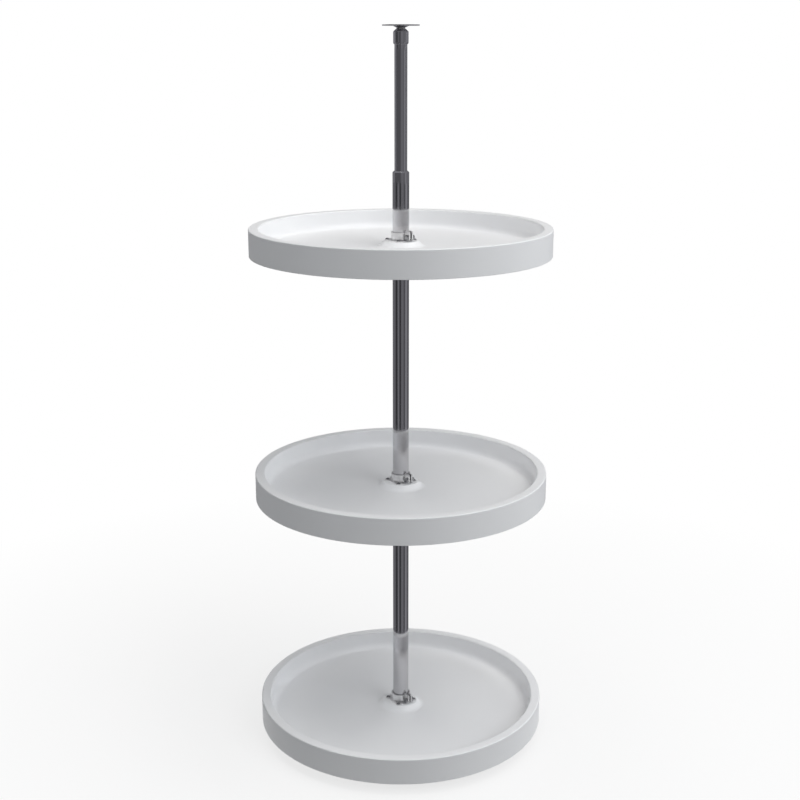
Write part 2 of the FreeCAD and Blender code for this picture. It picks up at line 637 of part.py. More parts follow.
def tray_spoke():
    """One radial rib from the boss, under the floor and through the hollow rim to the outer wall."""
    boss = (BOSS_RADIUS + TRAY_BORE_RADIUS) / 2
    inner, outer = INNER_WALL_RADIUS + TRAY_WALL / 2, TRAY_RADIUS - TRAY_WALL / 2
    rim_z, floor_z = RIM_Z - TRAY_WALL / 2, FLOOR_UNDERSIDE_Z + RIB_SINK
    mound_z = MOUND_UNDERSIDE_Z + RIB_SINK
    cone_shift = CONE_SHIFT * (1 - RIB_SINK / TRAY_FLOOR_THICKNESS)
    wire = rounded_wire(
        [
            (boss, RIB_LIFT, 0),
            (outer, RIB_LIFT, 0),
            (outer, rim_z, 0),
            (inner, rim_z, 0),
            (inner, floor_z, TRAY_COVE_RADIUS + TRAY_WALL / 2),
            (MOUND_FOOT_RADIUS - cone_shift, floor_z, 0),
            (MOUND_TOP_RADIUS - cone_shift, mound_z, 0),
            (boss, mound_z, 0),
        ],
        lambda p: Vector(p.x, -RIB_THICKNESS / 2, p.y),
    )
    return Part.Face(wire).extrude(Vector(0, RIB_THICKNESS, 0))


def ring_rib():
    """Circular rib half way out under the floor."""
    half = RIB_THICKNESS / 2
    return turned([
        (RING_RIB_RADIUS - half, RIB_LIFT, 0),
        (RING_RIB_RADIUS + half, RIB_LIFT, 0),
        (RING_RIB_RADIUS + half, FLOOR_UNDERSIDE_Z + RIB_SINK, 0),
        (RING_RIB_RADIUS - half, FLOOR_UNDERSIDE_Z + RIB_SINK, 0),
    ])


def tray():
    """Moulded tray: revolved shell, ribs underneath, bosses for the hub's screws."""
    spokes = [turned_to(tray_spoke(), b) for b in bearings(RIB_COUNT, HUB_FIRST_LOBE)]
    boss_foot = MOUND_Z - SCREW_BOSS_LENGTH
    boss_height = SCREW_BOSS_LENGTH - TRAY_FLOOR_THICKNESS / 2
    bosses = holes(
        HUB_LOBES, HUB_SCREW_CIRCLE, SCREW_BOSS_RADIUS, boss_foot, boss_height, HUB_FIRST_LOBE
    )
    body = tray_shell().fuse(spokes + [ring_rib()] + bosses).removeSplitter()
    pilots = holes(
        HUB_LOBES,
        HUB_SCREW_CIRCLE,
        HUB_SCREW_RADIUS + SEAT_CLEARANCE,
        MOUND_Z - HUB_SCREW_LENGTH,
        HUB_SCREW_LENGTH + OVERRUN,
        HUB_FIRST_LOBE,
    )
    return body.cut(pilots)


# ---- Hub ------------------------------------------------------------------------------------
# A hub is drawn with the underside of its flange at height 0, on the tray's raised centre.


def lobed_outline():
    """Flange outline: a round end at each screw, joined by hollow arcs that touch both ends."""
    step = 360.0 / HUB_LOBES
    lobe, circle, waist = HUB_LOBE_RADIUS, HUB_SCREW_CIRCLE, HUB_WAIST_RADIUS
    cosine = math.cos(math.radians(step / 2))
    # The hollow arc's centre distance c solves |c - screw centre| = lobe + (c - waist).
    centre = (circle ** 2 - (lobe - waist) ** 2) / (2 * (circle * cosine + lobe - waist))
    hollow = centre - waist
    edges = []
    for bearing in bearings(HUB_LOBES, HUB_FIRST_LOBE):
        screw = polar(circle, bearing)
        before = polar(centre, bearing - step / 2)
        after = polar(centre, bearing + step / 2)
        start = screw + (before - screw).normalize() * lobe
        end = screw + (after - screw).normalize() * lobe
        next_screw = polar(circle, bearing + step)
        next_start = next_screw + (after - next_screw).normalize() * lobe
        bottom = polar(centre - hollow, bearing + step / 2)
        edges.append(Part.Arc(start, polar(circle + lobe, bearing), end).toShape())
        edges.append(Part.Arc(end, bottom, next_start).toShape())
    return Part.Wire(edges)


def hub_collar():
    """Collar with its root radius, before it is split."""
    root = HUB_COLLAR_RADIUS + HUB_ROOT_FILLET + RUNNING_CLEARANCE
    return turned([
        (HUB_BORE_RADIUS, 0, -FINE_BREAK),
        (root, 0, 0),
        (root, HUB_SHEET, 0),
        (HUB_COLLAR_RADIUS, HUB_SHEET, HUB_ROOT_FILLET),
        (HUB_COLLAR_RADIUS, HUB_COLLAR_HEIGHT, -FINE_BREAK),
        (HUB_BORE_RADIUS, HUB_COLLAR_HEIGHT, -FINE_BREAK),
    ])


def clamp_ear(side):
    """One ear of the clamp, along +X; side is +1 or -1."""
    start, tip = HUB_COLLAR_RADIUS - HUB_COLLAR_WALL / 2, CLAMP_EAR_REACH
    foot, top, corner = CLAMP_EAR_FOOT, HUB_COLLAR_HEIGHT + CLAMP_EAR_RISE, CLAMP_EAR_CORNER
    inner = side * CLAMP_GAP / 2
    wire = rounded_wire(
        [
            (start, foot, 0),
            (tip, foot, corner),
            (tip, top, corner),
            (HUB_COLLAR_RADIUS, top, CLAMP_EAR_HEEL),
            (start, HUB_COLLAR_HEIGHT - BREAK, 0),
        ],
        lambda p: Vector(p.x, inner, p.y),
    )
    return Part.Face(wire).extrude(Vector(0, side * CLAMP_EAR_SHEET, 0))


def relief_slit():
    """Arc-shaped slit that frees the band from the root on both sides of the split."""
    reach = HUB_COLLAR_RADIUS + OVERRUN
    z = CLAMP_EAR_FOOT - RELIEF_HEIGHT
    wedge = Part.makeCylinder(reach, RELIEF_HEIGHT, Vector(0, 0, z), UP, 2 * RELIEF_HALF_ANGLE)
    wedge.rotate(ORIGIN, UP, -RELIEF_HALF_ANGLE)
    return wedge


def hub():
    """Hub: lobed flange, split collar and two ears."""
    flange = plate(lobed_outline(), 0, HUB_SHEET)
    flange = flange.cut(Part.makeCylinder(HUB_BORE_RADIUS + HUB_COLLAR_WALL / 2, HUB_SHEET))
    ears = clamp_ear(1).fuse(clamp_ear(-1))
    split_foot = CLAMP_EAR_FOOT - RELIEF_HEIGHT
    split = Part.makeBox(
        CLAMP_EAR_REACH, CLAMP_GAP, HUB_COLLAR_HEIGHT, Vector(0, -CLAMP_GAP / 2, split_foot)
    )
    bolt_hole = Part.makeCylinder(
        CLAMP_BOLT_RADIUS + BOLT_CLEARANCE,
        4 * CLAMP_GAP,
        Vector(CLAMP_BOLT_REACH, -2 * CLAMP_GAP, CLAMP_BOLT_Z),
        Vector(0, 1, 0),
    )
    clamp = hub_collar().fuse(ears).cut([split, relief_slit(), bolt_hole])
    body = flange.fuse(turned_to(clamp, CLAMP_DIRECTION)).removeSplitter()
    drills = holes(
        HUB_LOBES,
        HUB_SCREW_CIRCLE,
        HUB_SCREW_RADIUS + BOLT_CLEARANCE,
        -OVERRUN,
        HUB_SHEET + 2 * OVERRUN,
        HUB_FIRST_LOBE,
    )
    return body.cut(drills)


def hub_screws():
    """Four domed screws that hold the flange to the tray."""
    head, shank, seat = HUB_SCREW_HEAD_RADIUS, HUB_SCREW_RADIUS, HUB_SHEET
    screw = turned([
        (0, seat - HUB_SCREW_LENGTH, 0),
        (HUB_SCREW_TIP_RADIUS, seat - HUB_SCREW_LENGTH, 0),
        (shank, seat - HUB_SCREW_LENGTH + HUB_SCREW_TIP_LENGTH, 0),
        (shank, seat, 0),
        (head, seat, 0),
        (head, seat + HUB_SCREW_HEAD_HEIGHT, HUB_SCREW_HEAD_HEIGHT * HUB_SCREW_DOME),
        (0, seat + HUB_SCREW_HEAD_HEIGHT, 0),
    ])
    copies = []
    for bearing in bearings(HUB_LOBES, HUB_FIRST_LOBE):
        copy = screw.copy()
        copy.translate(polar(HUB_SCREW_CIRCLE, bearing))
        copies.append(copy)
    return Part.makeCompound(copies)


def across_ears(shape):
    """Turns a piece drawn along +Y across the ears of a clamp on +X to its true bearing."""
    return turned_to(shape, CLAMP_DIRECTION)


def clamp_bolt():
    """Hexagon bolt whose head lies against the first ear."""
    along = Vector(0, 1, 0)
    end = EAR_FACE + CLAMP_WASHER_THICKNESS + CLAMP_NUT_HEIGHT + CLAMP_THREAD_SHOWING
    shank_foot = Vector(CLAMP_BOLT_REACH, -EAR_FACE, CLAMP_BOLT_Z)
    shank = Part.makeCylinder(CLAMP_BOLT_RADIUS, EAR_FACE + end, shank_foot, along)
    head_foot = Vector(CLAMP_BOLT_REACH, -EAR_FACE - CLAMP_HEAD_HEIGHT, CLAMP_BOLT_Z)
    head = hexagon(CLAMP_HEX_FLATS, head_foot, along, CLAMP_HEAD_HEIGHT)
    return across_ears(head.fuse(shank).removeSplitter())


def clamp_washer():
    """Washer under the clamp nut."""
    place = Vector(CLAMP_BOLT_REACH, EAR_FACE, CLAMP_BOLT_Z)
    along = Vector(0, 1, 0)
    disc = Part.makeCylinder(CLAMP_WASHER_RADIUS, CLAMP_WASHER_THICKNESS, place, along)
    bore = Part.makeCylinder(
        CLAMP_BOLT_RADIUS + BOLT_CLEARANCE, CLAMP_WASHER_THICKNESS, place, along
    )
    return across_ears(disc.cut(bore))


def clamp_nut():
    """Hexagon nut that closes the clamp."""
    along = Vector(0, 1, 0)
    place = Vector(CLAMP_BOLT_REACH, EAR_FACE + CLAMP_WASHER_THICKNESS, CLAMP_BOLT_Z)
    body = hexagon(CLAMP_HEX_FLATS, place, along, CLAMP_NUT_HEIGHT)
    bore = Part.makeCylinder(CLAMP_BOLT_RADIUS + SEAT_CLEARANCE, CLAMP_NUT_HEIGHT, place, along)
    return across_ears(body.cut(bore))


# ---- Output ---------------------------------------------------------------------------------


def post_pieces():
    """Every piece that is not repeated with the shelves, by node name."""
    return {
        "floor_plate": floor_plate(),
        "pivot_pin": pivot_pin(),
        "bearing_lower_race": bearing_lower_race(),
        "bearing_balls": bearing_balls(),
        "bearing_cage": bearing_cage(),
        "bearing_upper_race": bearing_upper_race(),
        "bottom_plug": bottom_plug(),
        "lower_tube": lower_tube(),
        "guide_bush": guide_bush(),
        "lock_nut": lock_nut(),
        "lock_screw": lock_screw(),
        "upper_tube": upper_tube(),
        "glide_ring": glide_ring(),
        "top_bushing": top_bushing(),
        "top_cap": top_cap(),
        "thrust_washer": thrust_washer(),
        "top_pin": top_pin(),
        "ceiling_plate": ceiling_plate(),
    }


def shelf_pieces():
    """The pieces of every shelf, by node name; each shelf repeats the same tray and hub."""
    pattern = {
        "tray": tray(),
        "hub": raised(hub(), MOUND_Z),
        "hub_screws": raised(hub_screws(), MOUND_Z),
        "clamp_bolt": raised(clamp_bolt(), MOUND_Z),
        "clamp_washer": raised(clamp_washer(), MOUND_Z),
        "clamp_nut": raised(clamp_nut(), MOUND_Z),
    }
    placed = {}
    for index, shelf in enumerate(SHELF_NAMES):
        lift = FIRST_TRAY_LIFT + index * SHELF_PITCH
        for piece, shape in pattern.items():
            placed[f"{shelf}_{piece}"] = raised(shape, lift)
    return placed


def main():
    """Builds every piece and writes one STEP file per node."""
    os.makedirs("parts", exist_ok=True)
    for node, shape in {**post_pieces(), **shelf_pieces()}.items():
        if not shape.isValid():
            raise ValueError(f"{node} is not a valid shape")
        shape.exportStep(f"parts/{node}.step")
        print(f"{node}: {len(shape.Solids)} solid(s), {len(shape.Faces)} faces, {shape.Volume:.0f} mm3")


main()
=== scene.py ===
"""Looks of a rotating pantry unit: white moulded trays on a chromed telescopic post.

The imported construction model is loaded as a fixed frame. Every node gets its finish here, and the
small fasteners are replaced by finer ones with recesses, bevels and threads. Lengths are metres.
"""

import json
import logging
import math
from dataclasses import dataclass
from enum import Enum
from typing import Callable, Iterable, Sequence

import bpy
from mathutils import Matrix, Vector

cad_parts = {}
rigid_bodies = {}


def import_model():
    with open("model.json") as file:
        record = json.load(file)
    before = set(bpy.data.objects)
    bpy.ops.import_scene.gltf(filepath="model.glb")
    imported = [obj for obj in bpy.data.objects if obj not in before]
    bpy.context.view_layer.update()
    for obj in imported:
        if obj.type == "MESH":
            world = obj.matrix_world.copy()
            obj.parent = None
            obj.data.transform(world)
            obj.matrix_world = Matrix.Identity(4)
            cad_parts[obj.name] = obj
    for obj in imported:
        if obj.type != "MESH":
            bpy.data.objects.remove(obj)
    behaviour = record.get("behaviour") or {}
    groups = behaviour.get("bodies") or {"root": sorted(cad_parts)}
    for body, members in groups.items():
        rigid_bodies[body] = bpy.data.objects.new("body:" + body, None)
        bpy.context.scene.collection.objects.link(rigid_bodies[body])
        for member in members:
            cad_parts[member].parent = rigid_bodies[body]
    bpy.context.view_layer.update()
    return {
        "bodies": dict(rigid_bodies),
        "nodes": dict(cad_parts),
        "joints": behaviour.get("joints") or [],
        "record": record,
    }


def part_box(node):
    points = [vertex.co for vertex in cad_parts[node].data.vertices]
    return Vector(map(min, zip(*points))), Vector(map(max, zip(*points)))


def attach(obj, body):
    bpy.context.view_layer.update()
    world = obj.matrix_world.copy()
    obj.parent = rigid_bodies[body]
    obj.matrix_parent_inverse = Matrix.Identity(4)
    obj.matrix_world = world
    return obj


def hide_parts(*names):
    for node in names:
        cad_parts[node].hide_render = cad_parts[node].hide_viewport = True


LOG = logging.getLogger("pantry_unit")
MM = 0.001
FULL_TURN = 2 * math.pi
CAMERA_BEARING = -90.0      # degrees from +X to the side that the camera looks from

Colour = tuple[float, float, float]
Point = tuple[float, float, float]

WHITE: Colour = (1.0, 1.0, 1.0)
COOL: Colour = (0.94, 0.97, 1.0)        # the side lamps' light
WARM: Colour = (1.0, 0.99, 0.97)        # the high lamps' light
MIDDLE = Vector((0.0, 0.0, 0.8))        # what every lamp points at


# ---- Shader helpers -------------------------------------------------------------------------


class Graph:
    """The node tree of a material or a world, with short calls for the nodes that are shared."""

    MIX_FIRST = 6       # the mix node's inputs and output for colours
    MIX_SECOND = 7
    MIX_RESULT = 2

    def __init__(self, owner: bpy.types.Material | bpy.types.World) -> None:
        """Starts an empty tree.

        Args:
            owner: The material or world that the tree belongs to.
        """
        self.owner = owner
        owner.use_nodes = True
        self.tree = owner.node_tree
        self.tree.nodes.clear()

    @classmethod
    def named(cls, name: str) -> "Graph":
        """An empty material's tree.

        Args:
            name: The new material's name.

        Returns:
            The tree.
        """
        return cls(bpy.data.materials.new(name))

    def end(self, shader: bpy.types.Node) -> bpy.types.Material | bpy.types.World:
        """Links a shader to the tree's output.

        Args:
            shader: The node whose first socket is the finished surface.

        Returns:
            The material or world.
        """
        kind = "World" if isinstance(self.owner, bpy.types.World) else "Material"
        output = self.tree.nodes.new("ShaderNodeOutput" + kind)
        self.tree.links.new(shader.outputs[0], output.inputs["Surface"])
        return self.owner

    def node(self, kind: str, inputs: dict | None = None, **settings: object) -> bpy.types.Node:
        """Adds a node.

        Args:
            kind: The node's type, without the leading ShaderNode.
            inputs: Socket names or numbers with their values or the sockets to link from.
            settings: Attributes of the node itself.

        Returns:
            The new node.
        """
        made = self.tree.nodes.new("ShaderNode" + kind)
        for key, value in settings.items():
            setattr(made, key, value)
        for key, value in (inputs or {}).items():
            if isinstance(value, bpy.types.NodeSocket):
                self.tree.links.new(value, made.inputs[key])
            else:
                made.inputs[key].default_value = value
        return made

    def place(self, stretch: Point = (1.0, 1.0, 1.0)) -> bpy.types.NodeSocket:
        """Object coordinates in metres, stretched along each axis.

        Args:
            stretch: Scale of the coordinates along X, Y and Z.

        Returns:
            The coordinate socket.
        """
        coordinates = self.node("TexCoord").outputs["Object"]
        return self.node("Mapping", {"Vector": coordinates, "Scale": stretch}).outputs["Vector"]

    def noise(self, at: bpy.types.NodeSocket, scale: float,
              detail: float = 3.0) -> bpy.types.NodeSocket:
        """Soft noise at these coordinates.

        Args:
            at: The coordinate socket.
            scale: Cycles per metre.
            detail: Octaves of finer noise.

        Returns:
            The noise value's socket, from 0 to 1.
        """
        inputs = {"Vector": at, "Scale": scale, "Detail": detail}
        return self.node("TexNoise", inputs).outputs["Fac"]

    def spread(self, value: bpy.types.NodeSocket, low: float, high: float,
               start: float = 0.3, stop: float = 0.7) -> bpy.types.NodeSocket:
        """Maps a value from one range onto another.

        Args:
            value: The socket to map.
            low: Result at start.
            high: Result at stop.
            start: Lower end of the value.
            stop: Upper end of the value.

        Returns:
            The mapped value's socket.
        """
        inputs = {"Value": value, "From Min": start, "From Max": stop, "To Min": low, "To Max": high}
        return self.node("MapRange", inputs).outputs["Result"]

    def tint(self, factor: bpy.types.NodeSocket, first: Colour,
             second: Colour) -> bpy.types.NodeSocket:
        """Mixes two colours.

        Args:
            factor: Share of the second colour, from 0 to 1.
            first: Colour at 0.
            second: Colour at 1.

        Returns:
            The mixed colour's socket.
        """
        inputs = {0: factor, self.MIX_FIRST: (*first, 1.0), self.MIX_SECOND: (*second, 1.0)}
        return self.node("Mix", inputs, data_type="RGBA").outputs[self.MIX_RESULT]

    def bump(self, height: bpy.types.NodeSocket, depth: float, strength: float,
             under: bpy.types.NodeSocket | None = None) -> bpy.types.NodeSocket:
        """Turns a height into a normal.

        Args:
            height: The height's socket, from 0 to 1.
            depth: Real height of the relief in metres.
            strength: Share of the relief that shows.
            under: Normal of a coarser relief to build on.

        Returns:
            The normal's socket.
        """
        inputs = {"Height": height, "Distance": depth, "Strength": strength}
        if under is not None:
            inputs["Normal"] = under
        return self.node("Bump", inputs).outputs["Normal"]

    def combine(self, operation: str, first: object, second: object) -> bpy.types.NodeSocket:
        """Combines two numbers.

        Args:
            operation: What is done with them, by the node's own name for it.
            first: The first number or its socket.
            second: The second number or its socket.

        Returns:
            The result's socket.
        """
        return self.node("Math", {0: first, 1: second}, operation=operation).outputs[0]

    def seen_directly(self) -> bpy.types.NodeSocket:
        """1 where the camera, or a mirror or clear piece, looks straight at a surface.

        Returns:
            The value's socket.
        """
        rays = self.node("LightPath").outputs
        either = self.combine("MAXIMUM", rays["Is Camera Ray"], rays["Is Glossy Ray"])
        return self.combine("MAXIMUM", either, rays["Is Transmission Ray"])

    def glow(self, colour: Colour, strength: float) -> bpy.types.Node:
        """A surface that gives light.

        Args:
            colour: The light's colour.
            strength: How bright it is; 1 is white.

        Returns:
            The shader node.
        """
        return self.node("Emission", {"Color": (*colour, 1.0), "Strength": strength})

    def surface(self, **inputs: object) -> bpy.types.Material:
        """Ends the tree in a principled surface.

        Args:
            inputs: Socket names, with underscores for spaces, and their values or sockets.

        Returns:
            The finished material.
        """
        named = {key.replace("_", " "): value for key, value in inputs.items()}
        return self.end(self.node("BsdfPrincipled", named))


# ---- Finishes -------------------------------------------------------------------------------


def scaled(colour: Colour, share: float) -> Colour:
    """A colour made darker or paler, up to white."""
    return tuple(min(1.0, share * channel) for channel in colour)


@dataclass(frozen=True)
class MouldedPolymer:
    """Semi-matt injection-moulded polymer: faint flow marks under a fine even grain."""

    name: str
    colour: Colour
    shade: Colour
    smoothest: float = 0.37
    roughest: float = 0.49
    ior: float = 1.49
    flow_per_metre: float = 7.0
    flow_depth: float = 0.4 * MM
    flow_strength: float = 0.25
    grain_per_metre: float = 900.0
    grain_depth: float = 0.02 * MM
    grain_strength: float = 0.5
    scuffs_per_metre: float = 63.0
    scuff_stretch: Point = (1.0, 1.0, 4.0)
    scuff_detail: float = 5.0

    def material(self) -> bpy.types.Material:
        """Builds the material.

        Returns:
            The new material.
        """
        graph = Graph.named(self.name)
        place = graph.place()
        flow = graph.noise(place, self.flow_per_metre, detail=2.0)
        grain = graph.noise(place, self.grain_per_metre, detail=2.0)
        scuffs = graph.noise(
            graph.place(self.scuff_stretch), self.scuffs_per_metre, self.scuff_detail
        )
        waves = graph.bump(flow, self.flow_depth, self.flow_strength)
        return graph.surface(
            Base_Color=graph.tint(graph.spread(flow, 0.0, 1.0), self.colour, self.shade),
            Roughness=graph.spread(scuffs, self.smoothest, self.roughest),
            IOR=self.ior,
            Normal=graph.bump(grain, self.grain_depth, self.grain_strength, waves),
        )


@dataclass(frozen=True)
class ChromePlate:
    """Bright chrome over drawn tube: long faint draw lines and a few softer patches."""

    name: str
    colour: Colour
    darkest: float = 0.93
    smoothest: float = 0.05
    roughest: float = 0.10
    lines_per_metre: float = 1400.0
    line_stretch: Point = (1.0, 1.0, 0.002)
    line_depth: float = 0.001 * MM
    line_strength: float = 0.35
    patches_per_metre: float = 24.0
    patch_stretch: Point = (1.0, 1.0, 0.25)
    patch_detail: float = 4.0

    def material(self) -> bpy.types.Material:
        """Builds the material.

        Returns:
            The new material.
        """
        graph = Graph.named(self.name)
        lines = graph.noise(graph.place(self.line_stretch), self.lines_per_metre, detail=2.0)
        patches = graph.noise(
            graph.place(self.patch_stretch), self.patches_per_metre, self.patch_detail
        )
        darker = scaled(self.colour, self.darkest)
        return graph.surface(
            Base_Color=graph.tint(graph.spread(patches, 0.0, 1.0), self.colour, darker),
            Metallic=1.0,
            Roughness=graph.spread(patches, self.smoothest, self.roughest),
            Normal=graph.bump(lines, self.line_depth, self.line_strength),
        )


@dataclass(frozen=True)
class ZincPlate:
    """Zinc-plated pressed steel: faint crystal patches and fine rolling lines."""

    name: str
    colour: Colour
    roughness: float = 0.26
    crystals_per_metre: float = 260.0
    palest: float = 1.10
    smoother: float = 0.05
    rougher: float = 0.06
    lines_per_metre: float = 2600.0
    line_stretch: Point = (1.0, 0.03, 0.03)
    line_depth: float = 0.008 * MM
    line_strength: float = 0.4

    def material(self) -> bpy.types.Material:
        """Builds the material.

        Returns:
            The new material.
        """
        graph = Graph.named(self.name)
        place = graph.place()
        cells = graph.node("TexVoronoi", {"Vector": place, "Scale": self.crystals_per_metre})
        tone = graph.node("SeparateColor", {"Color": cells.outputs["Color"]}).outputs["Red"]
        rolling = graph.noise(graph.place(self.line_stretch), self.lines_per_metre)
        low, high = self.roughness - self.smoother, self.roughness + self.rougher
        return graph.surface(
            Base_Color=graph.tint(tone, self.colour, scaled(self.colour, self.palest)),
            Metallic=1.0,
            Roughness=graph.spread(tone, low, high, start=0.0, stop=1.0),
            Normal=graph.bump(rolling, self.line_depth, self.line_strength),
        )


@dataclass(frozen=True)
class GroundSteel:
    """Ground bearing steel: bright, with rings left by the grinding wheel."""

    name: str
    colour: Colour
    darkest: float = 0.85
    smoothest: float = 0.10
    roughest: float = 0.19
    rings_per_metre: float = 700.0
    ring_wander: float = 0.6
    ring_depth: float = 0.003 * MM
    ring_strength: float = 0.5
    stains_per_metre: float = 90.0

    def material(self) -> bpy.types.Material:
        """Builds the material.

        Returns:
            The new material.
        """
        graph = Graph.named(self.name)
        place = graph.place()
        inputs = {"Vector": place, "Scale": self.rings_per_metre, "Distortion": self.ring_wander}
        wave = graph.node("TexWave", inputs, wave_type="RINGS", rings_direction="Z")
        rings = wave.outputs["Fac"]
        stains = graph.noise(place, self.stains_per_metre)
        darker = scaled(self.colour, self.darkest)
        return graph.surface(
            Base_Color=graph.tint(graph.spread(stains, 0.0, 1.0), self.colour, darker),
            Metallic=1.0,
            Roughness=graph.spread(rings, self.smoothest, self.roughest, start=0.0, stop=1.0),
            Normal=graph.bump(rings, self.ring_depth, self.ring_strength),
        )


@dataclass(frozen=True)
class Nylon:
    """Natural nylon: faintly clouded, with the fine lines of a turned face."""

    name: str
    colour: Colour
    darkest: float = 0.94
    smoothest: float = 0.36
    roughest: float = 0.46
    ior: float = 1.53
    clouds_per_metre: float = 60.0
    lines_per_metre: float = 2400.0
    line_stretch: Point = (0.05, 0.05, 1.0)
    line_depth: float = 0.01 * MM
    line_strength: float = 0.4

    def material(self) -> bpy.types.Material:
        """Builds the material.

        Returns:
            The new material.
        """
        graph = Graph.named(self.name)
        clouds = graph.noise(graph.place(), self.clouds_per_metre)
        turning = graph.noise(graph.place(self.line_stretch), self.lines_per_metre, detail=1.0)
        deeper = scaled(self.colour, self.darkest)
        return graph.surface(
            Base_Color=graph.tint(graph.spread(clouds, 0.0, 1.0), self.colour, deeper),
            Roughness=graph.spread(clouds, self.smoothest, self.roughest),
            IOR=self.ior,
            Normal=graph.bump(turning, self.line_depth, self.line_strength),
        )


class Finish(Enum):
    """Every finish of the unit, by the record's slot."""

    TRAY = "tray_white"
    POST = "post_chrome"
    HUB = "hub_zinc"
    PLATE = "plate_zinc"
    FASTENER = "fastener_zinc"
    BEARING = "bearing_steel"
    BUSH = "bush_nylon"


class Finishes:
    """Makes each finish once and dresses the pieces in it."""

    def __init__(self) -> None:
        """Builds all the materials."""
        recipes = {
            Finish.TRAY: MouldedPolymer(
                "moulded_white", (0.91, 0.91, 0.915), shade=(0.895, 0.895, 0.905)
            ),
            Finish.POST: ChromePlate("chrome_plate", (0.565, 0.56, 0.575)),
            Finish.HUB: ZincPlate("hub_zinc_plate", (0.75, 0.745, 0.745), roughness=0.42),
            Finish.PLATE: ZincPlate("plate_zinc_plate", (0.60, 0.61, 0.63), roughness=0.22),
            Finish.FASTENER: ZincPlate(
                "fastener_zinc_plate", (0.34, 0.34, 0.35), crystals_per_metre=900.0
            ),
            Finish.BEARING: GroundSteel("ground_steel", (0.58, 0.58, 0.59)),
            Finish.BUSH: Nylon("natural_nylon", (0.78, 0.77, 0.72)),
        }
        self.materials = {finish: recipe.material() for finish, recipe in recipes.items()}

    def dress(self, piece: bpy.types.Object, finish: Finish) -> None:
        """Gives a piece its finish.

        Args:
            piece: The mesh object to dress.
            finish: Which finish it takes.
        """
        piece.data.materials.clear()
        piece.data.materials.append(self.materials[finish])


# ---- Mesh helpers ---------------------------------------------------------------------------


@dataclass(frozen=True)
class Axis:
    """A place and a direction that a fastener is built along."""

    foot: Vector
    direction: Vector
    turn_degrees: float = 0.0

    def matrix(self) -> Matrix:
        """The matrix that takes +Z at the origin to this axis.

        Returns:
            The matrix.
        """
        lean = self.direction.to_track_quat("Z", "Y").to_matrix().to_4x4()
        turn = Matrix.Rotation(math.radians(self.turn_degrees), 4, "Z")
        return Matrix.Translation(self.foot) @ lean @ turn


class Rings:
    """A closed skin over rings of points, each with the same count, capped or joined at its ends."""

    def __init__(self, around: int = 72) -> None:
        """Starts with no rings.

        Args:
            around: Points in each ring.
        """
        self.around = around
        self.points: list[Point] = []

    def add(self, radius: Callable[[float], float], height: Callable[[float], float]) -> None:
        """Adds a ring.

        Args:
            radius: Radius at an angle in radians.
            height: Height at an angle in radians.
        """
        for step in range(self.around):
            angle = FULL_TURN * step / self.around
            r = radius(angle)
            self.points.append((r * math.cos(angle), r * math.sin(angle), height(angle)))

    def circle(self, radius: float, height: float) -> None:
        """Adds a plain circle."""
        self.add(lambda _: radius, lambda _: height)

    def faces(self, closed: bool) -> list[Sequence[int]]:
        """The skin's faces.

        Args:
            closed: True joins the last ring to the first, as in a washer; False caps the ends.

        Returns:
            Lists of point numbers.
        """
        n, rows = self.around, len(self.points) // self.around
        spans = rows if closed else rows - 1
        made: list[Sequence[int]] = []
        for row in range(spans):
            low, high = row * n, ((row + 1) % rows) * n
            made += [(low + i, low + (i + 1) % n, high + (i + 1) % n, high + i) for i in range(n)]
        if not closed:
            made.append(tuple(reversed(range(n))))
            made.append(tuple(range((rows - 1) * n, rows * n)))
        return made

    def piece(self, name: str, *axes: Axis, closed: bool = False,
              sharp_degrees: float = 35.0) -> bpy.types.Object:
        """Makes one object with a copy of the skin on each axis.

        Args:
            name: The object's name.
            axes: Where each copy stands and which way it points.
            closed: True for a skin round a hole.
            sharp_degrees: Edges that turn more than this stay sharp.

        Returns:
            The new mesh object.
        """
        skin, points, faces = self.faces(closed), [], []
        for axis in axes:
            first, matrix = len(points), axis.matrix()
            points += [matrix @ Vector(point) for point in self.points]
            faces += [[first + i for i in face] for face in skin]
        mesh = bpy.data.meshes.new(name)
        mesh.from_pydata(points, [], faces)
        mesh.polygons.foreach_set("use_smooth", [True] * len(mesh.polygons))
        mesh.set_sharp_from_angle(angle=math.radians(sharp_degrees))
        mesh.update()
        made = bpy.data.objects.new(name, mesh)
        bpy.context.scene.collection.objects.link(made)
        return made


def hexagon_radius(flats: float) -> Callable[[float], float]:
    """The outline of a hexagon.

    Args:
        flats: Distance across the flats.

    Returns:
        A function from angle in radians to radius.
    """
    sector = math.pi / 3
    return lambda angle: flats / 2 / math.cos((angle + sector / 2) % sector - sector / 2)


# ---- Fasteners ------------------------------------------------------------------------------
# Each is drawn upwards along the local Z axis.


